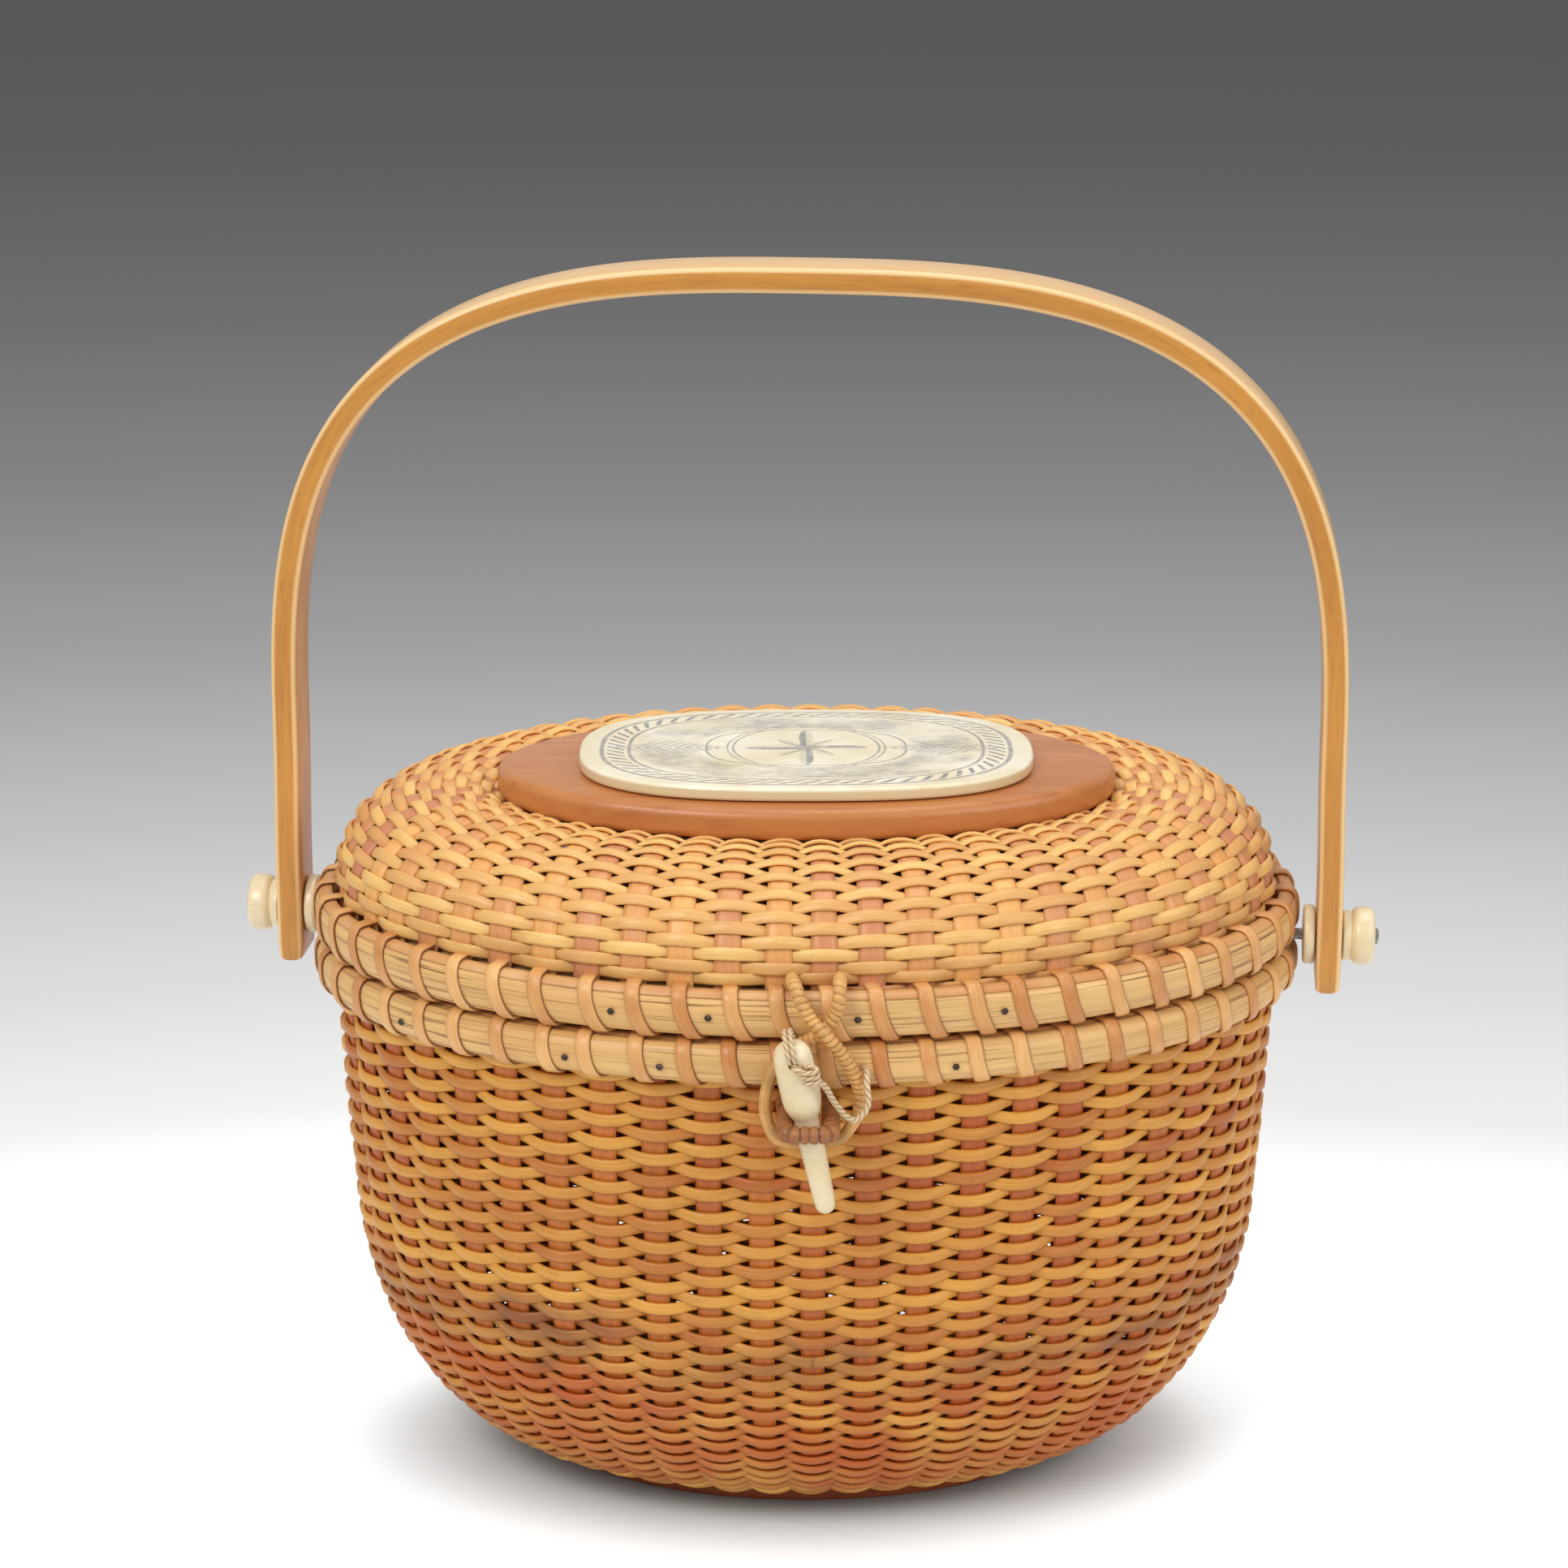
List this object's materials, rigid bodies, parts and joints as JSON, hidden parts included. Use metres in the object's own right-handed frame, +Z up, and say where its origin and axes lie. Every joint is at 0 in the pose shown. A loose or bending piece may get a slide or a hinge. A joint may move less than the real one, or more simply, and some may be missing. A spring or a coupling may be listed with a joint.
{
  "type": "nantucket basket",
  "caption": "Lidded oval woven basket purse with a bentwood swing handle, domed lid with an inlaid plate, lashed rims and a peg clasp.",
  "frame": {"origin": "centre of the base board's underside, which rests on the table", "axes": "+X along the oval's long axis, to the right seen from the clasp; -Y is the front with the clasp; +Z up"},
  "size_m": [0.2786, 0.1886, 0.3004],
  "materials": {
    "cherry": "satin varnish",
    "weave": "waxed cane",
    "hoop": "waxed reed",
    "cane": "waxed cane",
    "bentwood": "satin varnish",
    "ivory": "polished, ivory coloured",
    "pin_metal": "dull",
    "nail": "dark",
    "linen": "twisted linen"
  },
  "bodies": {
    "basket": {"base_board": "cherry", "body_inner_hoop": "hoop", "body_lashing": "cane", "body_outer_hoop": "hoop", "body_rim_cap": "cane", "body_tack_1": "nail", "body_tack_2": "nail", "body_tack_3": "nail", "body_tack_4": "nail", "body_tack_5": "nail", "body_tack_6": "nail", "body_weave": "weave", "clasp_staple": "cane", "ear_left": "bentwood", "ear_right": "bentwood", "hinge_loop_left": "cane", "hinge_loop_right": "cane", "knob_left": "ivory", "knob_right": "ivory", "peg_cord": "linen", "pin_left": "pin_metal", "pin_right": "pin_metal", "rove_left": "pin_metal", "rove_right": "pin_metal", "washer_left": "ivory", "washer_right": "ivory"},
    "lid": {"lid_weave": "weave", "lid_outer_hoop": "hoop", "lid_inner_hoop": "hoop", "lid_rim_cap_front": "cane", "lid_rim_cap_back": "cane", "lid_rim_filler": "cane", "lid_lashing": "cane", "lid_board": "cherry", "plaque": "ivory", "lid_tack_1": "nail", "lid_tack_2": "nail", "lid_tack_3": "nail", "lid_tack_4": "nail", "lid_tack_5": "nail", "lid_tack_6": "nail"},
    "handle": {"handle": "bentwood"},
    "clasp_loop": {"clasp_loop": "cane"},
    "peg": {"clasp_peg": "ivory"}
  },
  "joints": [
    {"name": "handle_swing", "type": "hinge", "parent": "basket", "child": "handle", "pos_m": [0, 0, 0.13785], "axis": [0.9954, -0.0954, 0], "range_deg": [-140, 140]},
    {"name": "lid_hinge", "type": "hinge", "parent": "basket", "child": "lid", "pos_m": [0, 0.086, 0.1363], "axis": [-1, 0, 0], "range_deg": [0, 100], "deforming": ["hinge_loop_left", "hinge_loop_right"]},
    {"name": "peg_slide", "type": "slide", "parent": "basket", "child": "peg", "axis": [-0.1948, -0.114, 0.9742], "range_m": [0, 0.046], "deforming": ["peg_cord"]},
    {"name": "clasp_loop_swing", "type": "hinge", "parent": "lid", "child": "clasp_loop", "pos_m": [0, -0.083, 0.15025], "axis": [-1, 0, 0], "range_deg": [0, 75], "deforming": ["clasp_loop"]}
  ]
}
